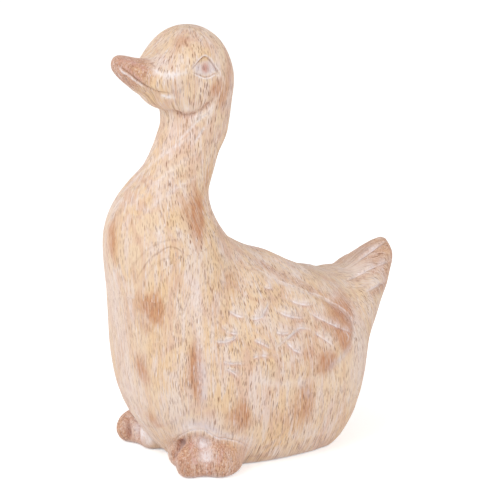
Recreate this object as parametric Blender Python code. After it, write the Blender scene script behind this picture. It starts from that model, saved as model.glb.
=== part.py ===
"""Duck garden statue, carved in one piece. Metres, +Z up; the duck faces -Y and its left side is +X."""

import math

import bmesh
import bpy
from mathutils import Vector

NAME = "duck_statue"

# Body
BODY_LENGTH = 0.240
BODY_WIDTH = 0.160
BACK_HEIGHT = 0.170

# Neck
NECK_DIAMETER = 0.054
NECK_RISE = 0.153
HEAD_SETBACK = 0.0745

# Head and bill
HEAD_DIAMETER = 0.069
BILL_LENGTH = 0.030
BILL_WIDTH = 0.042
BILL_DEPTH = 0.037
BILL_PITCH = math.radians(25)
BILL_END = 0.0036

# Tail
TAIL_LENGTH = 0.063
TAIL_WIDTH = 0.052
TAIL_DEPTH = 0.042
TAIL_PITCH = math.radians(23)
TAIL_END = 0.0050

# Feet
FOOT_SPACING = 0.082
FOOT_LENGTH = 0.033
FOOT_HEIGHT = 0.030
FOOT_SETBACK = 0.064
FOOT_SPLAY = math.radians(22)
TOE_ANGLE = math.radians(76)
TOE_NOTCH = 0.009
TOE_MIDDLE = 0.009
TOE_TUCK = math.radians(50)
TOE_VALLEY = 0.35
HEEL_SHORTENING = 0.15

# Carved lines: how wide and how deep
EYE_LENGTH = 0.0245
EYE_HEIGHT = 0.014
EYE_TILT = math.radians(14)
EYE_DEPTH = 0.0018
PUPIL_DIAMETER = 0.009
LID_WIDTH = 0.0022
LID_RELIEF = 0.0011
MOUTH_WIDTH = 0.0028
MOUTH_DEPTH = 0.0012
JAW_WIDTH = 0.0080
JAW_DEPTH = 0.0015
WING_LENGTH = 0.150
WING_HEIGHT = 0.088
WING_PITCH = math.radians(17)
WING_RELIEF = 0.0030
WING_EDGE = 0.007
FEATHER_WIDTH = 0.024
FEATHER_DROP = 0.007
FEATHER_GROOVE = 0.0046
FEATHER_DEPTH = 0.0015
QUILL_WIDTH = 0.0050
QUILL_DEPTH = 0.0014
TAIL_GROOVE = 0.0050
TAIL_GROOVE_DEPTH = 0.0024

# Where a part starts, as shares of what carries it
BILL_START = 1.13
BILL_START_ANGLE = math.radians(-2)
TAIL_SETBACK = 0.875
TAIL_RISE = 0.676
WING_SETBACK = 0.25
WING_RISE = 0.80
EYE_FORWARD = 0.06
EYE_RISE = 0.24

# Shares that shape the carving: how far forward the wing is widest, how blunt its ends are, how soon its
# shoulder stands out, how squarely the surface faces sideways where the carving is at its full depth, and
# how flat a foot is on top
WING_FULLNESS = 0.55
WING_BLUNTNESS = 0.75
WING_SHOULDER = 0.33
SIDE_FACING = 0.5
FOOT_FLATNESS = 0.85

# Mesh density, and the shares of the wing and the eye that are made finer
POINTS_AROUND = 36
BODY_RINGS = 2
FINE_RINGS = 3
END_RINGS = 4
SIDE_CROWDING = 0.2
FOOT_POINTS = 30
DOME_RINGS = 6
TUCK_RINGS = 2
FINE_WING = 0.86
FINE_EYE = 0.80
FINEST_EYE = 0.60

# The block below the floor that cuts the base flat, times the body's own size, and how far the feet reach into it
FLOOR_BLOCK = 4
FLOOR_MARGIN = 0.003

WOOD_COLOUR = (0.80, 0.62, 0.42, 1.0)
WOOD_ROUGHNESS = 0.75


def remove_objects():
    for item in list(bpy.data.objects):
        bpy.data.objects.remove(item, do_unlink=True)


def collection(name):
    group = bpy.data.collections.new(name)
    bpy.context.scene.collection.children.link(group)
    return group


def wood():
    material = bpy.data.materials.new("whitewashed_wood")
    material.use_nodes = True
    shader = material.node_tree.nodes["Principled BSDF"]
    shader.inputs["Base Color"].default_value = WOOD_COLOUR
    shader.inputs["Roughness"].default_value = WOOD_ROUGHNESS
    shader.inputs["Metallic"].default_value = 0.0
    return material


# The side view, in the plane x = 0: y runs back from the front of the chest, z up from the floor.

def polar(centre, angle, reach):
    """The point at an angle above the forward direction."""
    return (centre[0] - reach * math.cos(angle), centre[1] + reach * math.sin(angle))


HEAD_CENTRE = (HEAD_SETBACK, BACK_HEIGHT + NECK_RISE)
BILL_ROOT = polar(HEAD_CENTRE, BILL_START_ANGLE, BILL_START * HEAD_DIAMETER / 2)
TAIL_ROOT = (TAIL_SETBACK * BODY_LENGTH, TAIL_RISE * BACK_HEIGHT)


def section(back, belly, width, widest=0.0):
    """One cross-section: its back and belly points in the side view, half its width, and where it is widest."""
    return (back[0], back[1], belly[0], belly[1], width / 2, widest)


def body_section(back_along, back_up, belly_along, belly_up, width, widest=0.0):
    back = (back_along * BODY_LENGTH, back_up * BACK_HEIGHT)
    belly = (belly_along * BODY_LENGTH, belly_up * BACK_HEIGHT)
    return section(back, belly, width * BODY_WIDTH, widest)


def neck_section(rise, setback, width, tilt):
    """A round section whose front edge is tilted up, between the back and the middle of the head."""
    centre = (setback * HEAD_SETBACK, BACK_HEIGHT + rise * NECK_RISE)
    reach = width * NECK_DIAMETER / 2
    back = polar(centre, tilt + math.pi, reach)
    front = polar(centre, tilt, reach)
    return section(back, front, 2 * reach)


def head_section(back_angle, back_reach, chin_angle, chin_reach, width, widest):
    radius = HEAD_DIAMETER / 2
    back = polar(HEAD_CENTRE, math.radians(back_angle), back_reach * radius)
    chin = polar(HEAD_CENTRE, math.radians(chin_angle), chin_reach * radius)
    return section(back, chin, width * HEAD_DIAMETER, widest)


def bill_section(along, top, bottom, width):
    """A section square to the bill, the share `along` of the way out."""
    up = BILL_PITCH + math.pi / 2
    middle = polar(BILL_ROOT, BILL_PITCH, along * BILL_LENGTH)
    return section(polar(middle, up, top * BILL_DEPTH), polar(middle, up, -bottom * BILL_DEPTH), width * BILL_WIDTH)


def tail_section(along, top, bottom, lean, width):
    """A section of the tail, the share `along` of the way out, leaning back at its lower edge."""
    out = math.pi - TAIL_PITCH
    up = math.pi / 2 - TAIL_PITCH
    middle = polar(TAIL_ROOT, out, along * TAIL_LENGTH)
    top_point = polar(polar(middle, up, top * TAIL_DEPTH), out, -lean * TAIL_LENGTH)
    bottom_point = polar(polar(middle, up, -bottom * TAIL_DEPTH), out, lean * TAIL_LENGTH)
    return section(top_point, bottom_point, width * TAIL_WIDTH)


def sections():
    tail = [
        tail_section(1.00, 0.38, 0.29, -0.07, 0.50),
        tail_section(0.83, 0.41, 0.56, -0.07, 0.73),
        tail_section(0.59, 0.39, 0.75, -0.05, 1.04),
        tail_section(0.36, 0.385, 0.94, -0.09, 1.46),
    ]
    body = [
        body_section(0.862, 0.797, 0.945, 0.380, 0.650),
        body_section(0.783, 0.838, 0.910, 0.205, 0.800, -0.04),
        body_section(0.700, 0.893, 0.858, 0.020, 0.905, -0.08),
        body_section(0.617, 0.958, 0.760, -0.115, 0.970, -0.10),
        body_section(0.540, 0.998, 0.560, -0.145, 0.995, -0.10),
        body_section(0.492, 1.034, 0.370, -0.110, 0.985, -0.08),
        body_section(0.462, 1.060, 0.222, 0.010, 0.940, -0.08),
        body_section(0.438, 1.090, 0.108, 0.220, 0.870, -0.12),
        body_section(0.421, 1.120, 0.066, 0.420, 0.800, -0.14),
        body_section(0.407, 1.150, 0.050, 0.620, 0.735, -0.14),
        body_section(0.395, 1.180, 0.037, 0.800, 0.665, -0.14),
        body_section(0.385, 1.212, 0.018, 0.965, 0.600, -0.12),
        body_section(0.377, 1.242, 0.010, 1.120, 0.540, -0.08),
        body_section(0.372, 1.268, 0.036, 1.258, 0.475, -0.04),
        body_section(0.370, 1.292, 0.093, 1.372, 0.405),
    ]
    neck = [
        neck_section(0.430, 0.845, 1.04, math.radians(23)),
        neck_section(0.530, 0.940, 0.98, math.radians(24)),
        neck_section(0.613, 1.005, 0.96, math.radians(20)),
        neck_section(0.689, 1.075, 1.01, math.radians(13)),
    ]
    head = [
        head_section(213, 1.24, 306, 1.14, 0.88, 0.05),
        head_section(188, 1.06, 310, 1.15, 0.96, 0.12),
        head_section(160, 0.97, 315, 1.19, 1.00, 0.18),
        head_section(130, 0.99, 320, 1.22, 0.99, 0.22),
        head_section(102, 1.02, 325, 1.26, 0.97, 0.22),
        head_section(74, 0.96, 331, 1.29, 0.88, 0.18),
        head_section(49, 0.85, 338, 1.32, 0.77, 0.10),
    ]
    bill = [
        bill_section(0.00, 0.39, 0.42, 1.00),
        bill_section(0.22, 0.32, 0.37, 0.82),
        bill_section(0.46, 0.27, 0.32, 0.69),
        bill_section(0.71, 0.24, 0.25, 0.57),
        bill_section(0.90, 0.21, 0.17, 0.42),
    ]
    return tail, body, neck, head, bill


def between(before, start, end, after, share):
    """A smooth curve through four neighbours, read between the middle two."""
    value = []
    for a, b, c, d in zip(before, start, end, after):
        pull = (2 * a - 5 * b + 4 * c - d) * share ** 2
        turn = (3 * b - a - 3 * c + d) * share ** 3
        value.append(0.5 * (2 * b + (c - a) * share + pull + turn))
    return value


def smooth_sections():
    """The drawn sections with rings between them, closer together in the tail and the bill."""
    tail, body, neck, head, bill = sections()
    drawn = tail + body + neck + head + bill
    ends = [drawn[0]] + drawn + [drawn[-1]]
    plain = range(len(tail), len(drawn) - len(bill))
    smooth = []
    for index in range(len(drawn) - 1):
        count = BODY_RINGS if index in plain else FINE_RINGS
        for step in range(count):
            smooth.append(between(*ends[index:index + 4], step / count))
    smooth.append(drawn[-1])
    return smooth


def ring(shape):
    """The points around one section, closer together on the duck's sides than on its back and belly."""
    back_y, back_z, belly_y, belly_z, half_width, widest = shape
    middle = Vector((0, (back_y + belly_y) / 2, (back_z + belly_z) / 2))
    rise = Vector((0, (back_y - belly_y) / 2, (back_z - belly_z) / 2))
    points = []
    for index in range(POINTS_AROUND):
        turn = 2 * math.pi * index / POINTS_AROUND
        turn += SIDE_CROWDING * math.sin(2 * turn)
        height = math.cos(turn) + widest * math.sin(turn) ** 2
        points.append(middle + rise * height + Vector((half_width * math.sin(turn), 0, 0)))
    return points


def round_end(last, outward, bulge):
    """Rings that close an end with a rounded nose, and the point at its tip."""
    middle = sum(last, Vector()) / len(last)
    rings = []
    for step in range(1, END_RINGS):
        turn = math.pi / 2 * step / END_RINGS
        shift = outward * bulge * math.sin(turn)
        rings.append([middle + (point - middle) * math.cos(turn) + shift for point in last])
    return rings, middle + outward * bulge


def body_mesh():
    rings = [ring(shape) for shape in smooth_sections()]
    tail_way = Vector((0, math.cos(TAIL_PITCH), math.sin(TAIL_PITCH)))
    bill_way = Vector((0, -math.cos(BILL_PITCH), math.sin(BILL_PITCH)))
    tail_rings, tail_tip = round_end(rings[0], tail_way, TAIL_END)
    bill_rings, bill_tip = round_end(rings[-1], bill_way, BILL_END)
    rings = tail_rings[::-1] + rings + bill_rings
    mesh = bmesh.new()
    loops = [[mesh.verts.new(point) for point in points] for points in rings]
    for first, second in zip(loops, loops[1:]):
        for index in range(POINTS_AROUND):
            after = (index + 1) % POINTS_AROUND
            mesh.faces.new((first[index], first[after], second[after], second[index]))
    for loop, tip in ((loops[0], tail_tip), (loops[-1], bill_tip)):
        pole = mesh.verts.new(tip)
        for index in range(POINTS_AROUND):
            mesh.faces.new((loop[index], loop[(index + 1) % POINTS_AROUND], pole))
    bmesh.ops.recalc_face_normals(mesh, faces=mesh.faces)
    return mesh


def foot_outline(turn):
    """How far the foot reaches in a direction, measured from its middle toe: three toes with notches between."""
    past_toe = abs(turn) - TOE_ANGLE
    if past_toe > 0:
        return FOOT_LENGTH * (1.0 - HEEL_SHORTENING * math.sin(past_toe / 2) ** 2)
    return FOOT_LENGTH - TOE_NOTCH * math.sin(math.pi * turn / TOE_ANGLE) ** 2


def toe_valley(turn):
    """How deep the valley between two toes is, as a share of the foot's height."""
    if abs(turn) > TOE_ANGLE:
        return 0.0
    return TOE_VALLEY * math.sin(math.pi * turn / TOE_ANGLE) ** 4


def foot(side):
    """A domed foot with three toes, its middle toe turned outward by the splay. It tucks in under the toes."""
    mesh = bmesh.new()
    tucks = [-TOE_TUCK * level / TUCK_RINGS for level in range(TUCK_RINGS, 0, -1)]
    lifts = [math.pi / 2 * level / DOME_RINGS for level in range(DOME_RINGS)]
    rings = []
    for lift in tucks + lifts:
        loop = []
        for index in range(FOOT_POINTS):
            turn = 2 * math.pi * index / FOOT_POINTS - math.pi
            reach = foot_outline(turn) * math.cos(lift) ** FOOT_FLATNESS
            heading = side * (turn + FOOT_SPLAY)
            if lift < 0:
                height = TOE_MIDDLE - (TOE_MIDDLE + FLOOR_MARGIN) * math.sin(-lift) / math.sin(TOE_TUCK)
            else:
                valley = 1.0 - toe_valley(turn) * math.cos(lift)
                height = TOE_MIDDLE + (FOOT_HEIGHT - TOE_MIDDLE) * math.sin(lift) ** FOOT_FLATNESS * valley
            loop.append(mesh.verts.new((reach * math.sin(heading), -reach * math.cos(heading), height)))
        rings.append(loop)
    for first, second in zip(rings, rings[1:]):
        for index in range(FOOT_POINTS):
            after = (index + 1) % FOOT_POINTS
            mesh.faces.new((first[index], first[after], second[after], second[index]))
    top = mesh.verts.new((0, 0, FOOT_HEIGHT))
    for index in range(FOOT_POINTS):
        mesh.faces.new((rings[-1][index], rings[-1][(index + 1) % FOOT_POINTS], top))
    mesh.faces.new(rings[0][::-1])
    bmesh.ops.recalc_face_normals(mesh, faces=mesh.faces)
    return mesh


def add_object(name, mesh, group):
    data = bpy.data.meshes.new(name)
    mesh.to_mesh(data)
    mesh.free()
    item = bpy.data.objects.new(name, data)
    group.objects.link(item)
    return item


def hide_tool(item):
    item.hide_render = True
    item.display_type = "WIRE"


def boolean(item, tool, operation):
    step = item.modifiers.new(tool.name, "BOOLEAN")
    step.operation = operation
    step.solver = "EXACT"
    step.object = tool


# The carving, drawn on the side view and cut the same into both sides.

EYE_CENTRE = (HEAD_CENTRE[0] - EYE_FORWARD * HEAD_DIAMETER / 2, HEAD_CENTRE[1] + EYE_RISE * HEAD_DIAMETER / 2)
WING_ROOT = (WING_SETBACK * BODY_LENGTH, WING_RISE * BACK_HEIGHT)

# Shares of the head's radius, forward and up from its middle
JAW_LINE = [(0.87, -0.86), (0.55, -0.90), (0.32, -0.78), (0.03, -0.56), (-0.25, -0.34)]

# Shares of the bill's length and depth, out and up from its root
MOUTH_LINE = [(-0.45, -0.26), (-0.08, -0.24), (0.40, -0.15), (1.12, 0.02)]

# Shares of the wing's length and height, back and up from its root
FEATHER_TIPS = [
    (0.24, 0.33), (0.48, 0.24), (0.10, 0.03), (0.27, 0.10), (0.43, 0.11), (0.08, -0.16), (0.42, -0.05),
    (0.25, -0.12), (0.16, -0.36), (0.32, -0.24), (0.52, -0.20), (0.34, -0.40), (0.58, 0.06),
]
QUILLS = [
    [(0.53, 0.21), (0.75, 0.15), (0.96, 0.03)],
    [(0.60, 0.02), (0.75, -0.04), (0.92, -0.10)],
    [(0.58, -0.16), (0.72, -0.20), (0.86, -0.24)],
]

# Shares of the tail's length and depth, out and up from its root
TAIL_LINES = [
    [(0.34, 0.27), (0.70, 0.28), (1.06, 0.26)],
    [(0.06, 0.30), (0.45, 0.14), (0.98, 0.02)],
    [(0.22, -0.06), (0.50, -0.16), (0.84, -0.26)],
]


def local(point, origin, angle):
    """The point's place along and above a line that starts at the origin and leaves it at the angle."""
    along_y, along_z = -math.cos(angle), math.sin(angle)
    offset_y, offset_z = point[0] - origin[0], point[1] - origin[1]
    along = along_y * offset_y + along_z * offset_z
    up = math.copysign(1.0, along_y) * (along_y * offset_z - along_z * offset_y)
    return along, up


def to_line(place, line):
    """The shortest way from a place to a line of straight pieces."""
    nearest = math.inf
    for start, end in zip(line, line[1:]):
        piece = Vector(end) - Vector(start)
        share = (Vector(place) - Vector(start)).dot(piece) / piece.length_squared
        closest = Vector(start) + piece * min(max(share, 0.0), 1.0)
        nearest = min(nearest, (Vector(place) - closest).length)
    return nearest


def groove(distance, width):
    """A rounded groove's depth, from 1 at its middle to 0 at its edges."""
    if distance >= width / 2:
        return 0.0
    return math.cos(math.pi * distance / width) ** 2


def soft_step(value):
    value = min(max(value, 0.0), 1.0)
    return value * value * (3 - 2 * value)


def eye_relief(spot):
    along, up = local(spot, EYE_CENTRE, EYE_TILT)
    share = 2 * along / EYE_LENGTH
    if abs(share) > 1:
        return 0.0
    lid = EYE_HEIGHT / 2 * (1 - share * share)
    inside = lid - abs(up)
    ball = 1 - (along * along + up * up) / (PUPIL_DIAMETER / 2) ** 2
    hollow = EYE_DEPTH * soft_step(inside / LID_WIDTH)
    bulge = EYE_DEPTH * soft_step(ball)
    rim = LID_RELIEF * groove(abs(inside + LID_WIDTH / 2), 2 * LID_WIDTH)
    return rim - hollow + bulge


def wing_outline(share):
    """Half the wing's height at a share of its length: a round shoulder that runs back to a blunt tip."""
    return WING_HEIGHT / 2 * max(math.sin(math.pi * share ** WING_FULLNESS), 0.0) ** WING_BLUNTNESS


def feather_edges(along, up):
    """For each feather end that reaches this far: the height above its edge, and the edge's strength here."""
    found = []
    for tip_along, tip_up in FEATHER_TIPS:
        across = 2 * (along - tip_along * WING_LENGTH) / FEATHER_WIDTH
        if abs(across) < 1:
            above = up - tip_up * WING_HEIGHT - FEATHER_DROP * across * across
            found.append((above, 1 - across ** 4))
    return found


def feather_relief(along, up):
    """Rounded feather ends, each cut in along its lower edge and standing a little proud above it."""
    relief = 0.0
    for above, fade in feather_edges(along, up):
        relief -= FEATHER_DEPTH * groove(abs(above), FEATHER_GROOVE) * fade
        proud = groove(abs(above - FEATHER_GROOVE), 2 * FEATHER_GROOVE)
        relief += FEATHER_DEPTH / 2 * proud * fade
    return relief


def quill_distance(along, up):
    lines = [[(a * WING_LENGTH, b * WING_HEIGHT) for a, b in line] for line in QUILLS]
    return min(to_line((along, up), line) for line in lines)


def wing_relief(spot):
    along, up = local(spot, WING_ROOT, math.pi + WING_PITCH)
    share = along / WING_LENGTH
    if not 0 < share < 1:
        return 0.0
    inside = soft_step((wing_outline(share) - abs(up)) / WING_EDGE)
    relief = WING_RELIEF * inside * soft_step(share / WING_SHOULDER)
    relief += feather_relief(along, up) * inside
    relief -= QUILL_DEPTH * groove(quill_distance(along, up), QUILL_WIDTH) * inside
    return relief


def tail_relief(spot):
    place = local(spot, TAIL_ROOT, math.pi - TAIL_PITCH)
    if place[0] < 0:
        return 0.0
    deepest = 0.0
    for line in TAIL_LINES:
        drawn = [(a * TAIL_LENGTH, b * TAIL_DEPTH) for a, b in line]
        deepest = max(deepest, groove(to_line(place, drawn), TAIL_GROOVE))
    return -TAIL_GROOVE_DEPTH * deepest


def bill_relief(spot):
    place = local(spot, BILL_ROOT, BILL_PITCH)
    drawn = [(a * BILL_LENGTH, b * BILL_DEPTH) for a, b in MOUTH_LINE]
    return -MOUTH_DEPTH * groove(to_line(place, drawn), MOUTH_WIDTH)


def jaw_relief(spot):
    place = local(spot, HEAD_CENTRE, 0.0)
    drawn = [(a * HEAD_DIAMETER / 2, b * HEAD_DIAMETER / 2) for a, b in JAW_LINE]
    return -JAW_DEPTH * groove(to_line(place, drawn), JAW_WIDTH)


def near_eye(spot):
    along, up = local(spot, EYE_CENTRE, EYE_TILT)
    return abs(along) < FINE_EYE * EYE_LENGTH and abs(up) < FINE_EYE * EYE_HEIGHT


def inside_eye(spot):
    along, up = local(spot, EYE_CENTRE, EYE_TILT)
    return math.hypot(along / EYE_LENGTH, up / EYE_HEIGHT) < FINEST_EYE


def near_wing(spot):
    along, up = local(spot, WING_ROOT, math.pi + WING_PITCH)
    share = along / WING_LENGTH
    return 0 < share < 1 and abs(up) < wing_outline(share)


def near_feathers(spot):
    along, up = local(spot, WING_ROOT, math.pi + WING_PITCH)
    share = along / WING_LENGTH
    return 0 < share < FINE_WING and abs(up) < FINE_WING * WING_HEIGHT / 2


def refine(mesh, chosen):
    """Halves the edges whose both ends are in the chosen part of the side view."""
    edges = [e for e in mesh.edges if all(chosen((v.co.y, v.co.z)) for v in e.verts)]
    bmesh.ops.subdivide_edges(mesh, edges=edges, cuts=1, use_grid_fill=True)


def carve(mesh):
    carving = (eye_relief, jaw_relief, bill_relief, wing_relief, tail_relief)
    refine(mesh, near_wing)
    refine(mesh, near_feathers)
    refine(mesh, near_eye)
    refine(mesh, inside_eye)
    mesh.normal_update()
    normals = [vertex.normal.copy() for vertex in mesh.verts]
    for vertex, normal in zip(mesh.verts, normals):
        spot = (vertex.co.y, vertex.co.z)
        relief = sum(shape(spot) for shape in carving)
        vertex.co += normal * relief * soft_step(abs(normal.x) / SIDE_FACING)
    bmesh.ops.triangulate(mesh, faces=mesh.faces, quad_method="SHORT_EDGE")


def main():
    remove_objects()
    statue = collection(NAME)
    tools = collection("joined_and_cut_away")
    body = body_mesh()
    carve(body)
    lengthwise = [vertex.co.y for vertex in body.verts]
    middle = (min(lengthwise) + max(lengthwise)) / 2
    bmesh.ops.translate(body, verts=body.verts, vec=(0, -middle, 0))
    duck = add_object(NAME, body, statue)
    duck.data.materials.append(wood())
    for side, name in ((1, "left_foot"), (-1, "right_foot")):
        shape = add_object(name, foot(side), tools)
        shape.location = (side * FOOT_SPACING / 2, FOOT_SETBACK - middle, 0)
        hide_tool(shape)
        boolean(duck, shape, "UNION")
    below = bmesh.new()
    size = FLOOR_BLOCK * Vector((BODY_WIDTH, BODY_LENGTH, BACK_HEIGHT))
    bmesh.ops.create_cube(below, size=1.0)
    bmesh.ops.scale(below, vec=size, verts=below.verts)
    ground = add_object("below_the_base", below, tools)
    ground.location = (0, 0, -size.z / 2)
    hide_tool(ground)
    boolean(duck, ground, "DIFFERENCE")


main()
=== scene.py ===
"""The duck garden statue's looks: its fine carving, its whitewashed wood, a pale floor and soft light."""
import math

import bmesh
import bpy
import numpy as np
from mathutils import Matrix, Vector, noise as waves
from mathutils.bvhtree import BVHTree
from mathutils.kdtree import KDTree


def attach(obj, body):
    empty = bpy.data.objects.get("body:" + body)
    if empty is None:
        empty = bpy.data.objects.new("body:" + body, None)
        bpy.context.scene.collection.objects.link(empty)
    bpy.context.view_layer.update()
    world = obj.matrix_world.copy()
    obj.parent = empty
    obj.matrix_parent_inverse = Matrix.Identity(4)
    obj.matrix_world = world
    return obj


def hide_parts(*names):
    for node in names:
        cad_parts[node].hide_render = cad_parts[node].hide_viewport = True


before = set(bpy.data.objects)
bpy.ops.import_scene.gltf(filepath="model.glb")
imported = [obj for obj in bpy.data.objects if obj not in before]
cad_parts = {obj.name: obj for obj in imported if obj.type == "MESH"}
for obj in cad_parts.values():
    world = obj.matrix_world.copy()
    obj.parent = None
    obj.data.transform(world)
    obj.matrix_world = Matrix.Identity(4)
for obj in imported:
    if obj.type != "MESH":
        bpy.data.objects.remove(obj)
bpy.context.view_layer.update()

# The camera: the photograph's viewing angle, its frame in pixels, and how large the statue stands in
# it. AIM is the point of the statue in the middle of the frame.
IMAGE_SIZE = 500
VIEW_AZIMUTH = math.radians(58)
VIEW_ELEVATION = math.radians(16)
VIEW_DISTANCE = 1.9
PIXELS_PER_METRE = 1216
SENSOR_WIDTH = 36
AIM = Vector((0.0036, -0.0064, 0.1655))

# The skin: its quads, the rounds of smoothing it gets everywhere, where it is carved and after each
# refining, and the push in and out that make one round
WELD_GAP = 0.00001
SKIN_QUAD = 0.0025
SMOOTH_EVERYWHERE = 10
SMOOTH_CARVED = 70
SMOOTH_REFINED = 4
PUSH_IN = 0.55
PUSH_OUT = -0.58

# The carved regions, the head and the wings, and how sharply the extra smoothing fades at their edges
HEAD_CENTRE = Vector((0, -0.0627, 0.323))
HEAD_REACH = 0.050
WING_MIDDLE = Vector((0.060, 0.000, 0.125))
WING_REACH = Vector((0.050, 0.100, 0.075))
REGION_EDGE = 3

# The saddle between the back and the tail, as setback, height, rise and reach in metres: its corner is
# filled, and the tail's root behind it is lowered
SADDLE = ((0.063, 0.138, 0.0026, 0.0095), (0.090, 0.136, -0.0034, 0.0080))

# How far from a stroke the skin is made finer, level by level
FINE_REACH = (0.0050, 0.0030, 0.0042)


def view_axes():
    """The camera's right, up and back directions."""
    back = Vector((math.sin(VIEW_AZIMUTH) * math.cos(VIEW_ELEVATION),
                   -math.cos(VIEW_AZIMUTH) * math.cos(VIEW_ELEVATION),
                   math.sin(VIEW_ELEVATION)))
    right = Vector((math.cos(VIEW_AZIMUTH), math.sin(VIEW_AZIMUTH), 0))
    return right, back.cross(right), back


RIGHT, UP, BACK = view_axes()
CAMERA_PLACE = AIM + BACK * VIEW_DISTANCE


def add_camera():
    data = bpy.data.cameras.new("camera")
    data.sensor_width = SENSOR_WIDTH
    data.angle = 2 * math.atan(IMAGE_SIZE / 2 / PIXELS_PER_METRE / VIEW_DISTANCE)
    camera = bpy.data.objects.new("camera", data)
    camera.location = CAMERA_PLACE
    camera.rotation_euler = BACK.to_track_quat("Z", "Y").to_euler()
    bpy.context.scene.collection.objects.link(camera)
    bpy.context.scene.camera = camera


def seen_from_camera(tree, pixel):
    """Where a pixel of the photograph falls on the statue."""
    across = (pixel[0] - IMAGE_SIZE / 2) / PIXELS_PER_METRE
    above = (IMAGE_SIZE / 2 - pixel[1]) / PIXELS_PER_METRE
    direction = (RIGHT * across + UP * above - BACK * VIEW_DISTANCE).normalized()
    return tree.ray_cast(CAMERA_PLACE, direction)[0]


# Lights and floor: places and sizes in metres, and powers in watts. The floor lies a little below the
# statue's base.

WHITE = (1, 1, 1, 1)
WORLD_LIGHT = 0.62
KEY_PLACE = Vector((0.55, -1.9, 1.9))
KEY_SIZE = 1.6
KEY_POWER = 22.3
FILL_PLACE = Vector((2.2, 0.6, 1.0))
FILL_SIZE = 1.8
FILL_POWER = 14
LEFT_PLACE = Vector((-1.4, -2.0, 0.7))
LEFT_SIZE = 1.8
LEFT_POWER = 9
FLOOR_HALF = 4.0
FLOOR_DROP = 0.0003
FLOOR_COLOUR = (0.9, 0.9, 0.9, 1)
FLOOR_ROUGHNESS = 0.9
FLOOR_GLOW = 0.45


def aim_light(light, target):
    light.rotation_euler = (light.location - target).to_track_quat("Z", "Y").to_euler()


def add_light(name, place, size, power):
    data = bpy.data.lights.new(name, "AREA")
    data.shape = "DISK"
    data.size = size
    data.energy = power
    light = bpy.data.objects.new(name, data)
    light.location = place
    aim_light(light, AIM)
    bpy.context.scene.collection.objects.link(light)


def camera_sees_it(tree):
    """1 for the camera, and for a glossy or clear surface that shows what is behind it."""
    path = tree.nodes.new("ShaderNodeLightPath")
    seen = maths(tree, "MAXIMUM", path.outputs["Is Camera Ray"], path.outputs["Is Glossy Ray"])
    return maths(tree, "MAXIMUM", seen, path.outputs["Is Transmission Ray"])


def add_world():
    world = bpy.data.worlds.new("white_surround")
    world.use_nodes = True
    bpy.context.scene.world = world
    tree = world.node_tree
    shader = tree.nodes["Background"]
    shader.inputs["Color"].default_value = WHITE
    seen = camera_sees_it(tree)
    level = maths(tree, "MULTIPLY_ADD", seen, 1 - WORLD_LIGHT, WORLD_LIGHT)
    tree.links.new(level, shader.inputs["Strength"])


def add_floor():
    mesh = bmesh.new()
    bmesh.ops.create_grid(mesh, x_segments=1, y_segments=1, size=FLOOR_HALF)
    floor = link_mesh("floor", mesh)
    floor.location.z = -FLOOR_DROP
    material = bpy.data.materials.new("white_floor")
    material.use_nodes = True
    tree = material.node_tree
    shader = tree.nodes["Principled BSDF"]
    shader.inputs["Base Color"].default_value = FLOOR_COLOUR
    shader.inputs["Roughness"].default_value = FLOOR_ROUGHNESS
    shader.inputs["Specular IOR Level"].default_value = 0.0
    shader.inputs["Emission Color"].default_value = WHITE
    glow = both(tree, camera_sees_it(tree), FLOOR_GLOW)
    tree.links.new(glow, shader.inputs["Emission Strength"])
    floor.data.materials.append(material)


# Node helpers. A mix node has sockets of the same name for each kind of value, so they are told apart
# by number.

MIX_NUMBERS = (2, 3)
MIX_NUMBER_OUT = 0
MIX_COLOURS = (6, 7)
MIX_COLOUR_OUT = 2


def wire(tree, socket, value):
    """Links a socket to another node's output, or sets it to a plain value."""
    if isinstance(value, bpy.types.NodeSocket):
        tree.links.new(value, socket)
    else:
        socket.default_value = value


def maths(tree, operation, *values):
    step = tree.nodes.new("ShaderNodeMath")
    step.operation = operation
    for socket, value in zip(step.inputs, values):
        wire(tree, socket, value)
    return step.outputs["Value"]


def both(tree, first, second):
    return maths(tree, "MULTIPLY", first, second)


def ramp(tree, value, low, high, start=0.0, end=1.0):
    """A smooth step from one value to another as the input goes from low to high."""
    step = tree.nodes.new("ShaderNodeMapRange")
    step.interpolation_type = "SMOOTHSTEP"
    for socket, entry in zip(step.inputs, (value, low, high, start, end)):
        wire(tree, socket, entry)
    return step.outputs["Result"]


def mix(tree, share, first, second):
    """The first colour where the share is 0, the second where it is 1."""
    step = tree.nodes.new("ShaderNodeMix")
    step.data_type = "RGBA"
    wire(tree, step.inputs["Factor"], share)
    for number, colour in zip(MIX_COLOURS, (first, second)):
        wire(tree, step.inputs[number], colour)
    return step.outputs[MIX_COLOUR_OUT]


def between(tree, share, first, second):
    """The first number where the share is 0, the second where it is 1."""
    step = tree.nodes.new("ShaderNodeMix")
    wire(tree, step.inputs["Factor"], share)
    for number, value in zip(MIX_NUMBERS, (first, second)):
        wire(tree, step.inputs[number], value)
    return step.outputs[MIX_NUMBER_OUT]


def warped_place(tree):
    """The statue's own coordinates, bent a little so that the grain wanders."""
    place = tree.nodes.new("ShaderNodeTexCoord").outputs["Object"]
    bend = tree.nodes.new("ShaderNodeTexNoise")
    tree.links.new(place, bend.inputs["Vector"])
    bend.inputs["Scale"].default_value = 1 / GRAIN_BEND_LENGTH
    bend.inputs["Detail"].default_value = GRAIN_BEND_DETAIL
    shift = tree.nodes.new("ShaderNodeVectorMath")
    shift.operation = "MULTIPLY_ADD"
    tree.links.new(bend.outputs["Color"], shift.inputs[0])
    shift.inputs[1].default_value = (GRAIN_BEND, GRAIN_BEND, GRAIN_BEND)
    tree.links.new(place, shift.inputs[2])
    return shift.outputs["Vector"]


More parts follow.
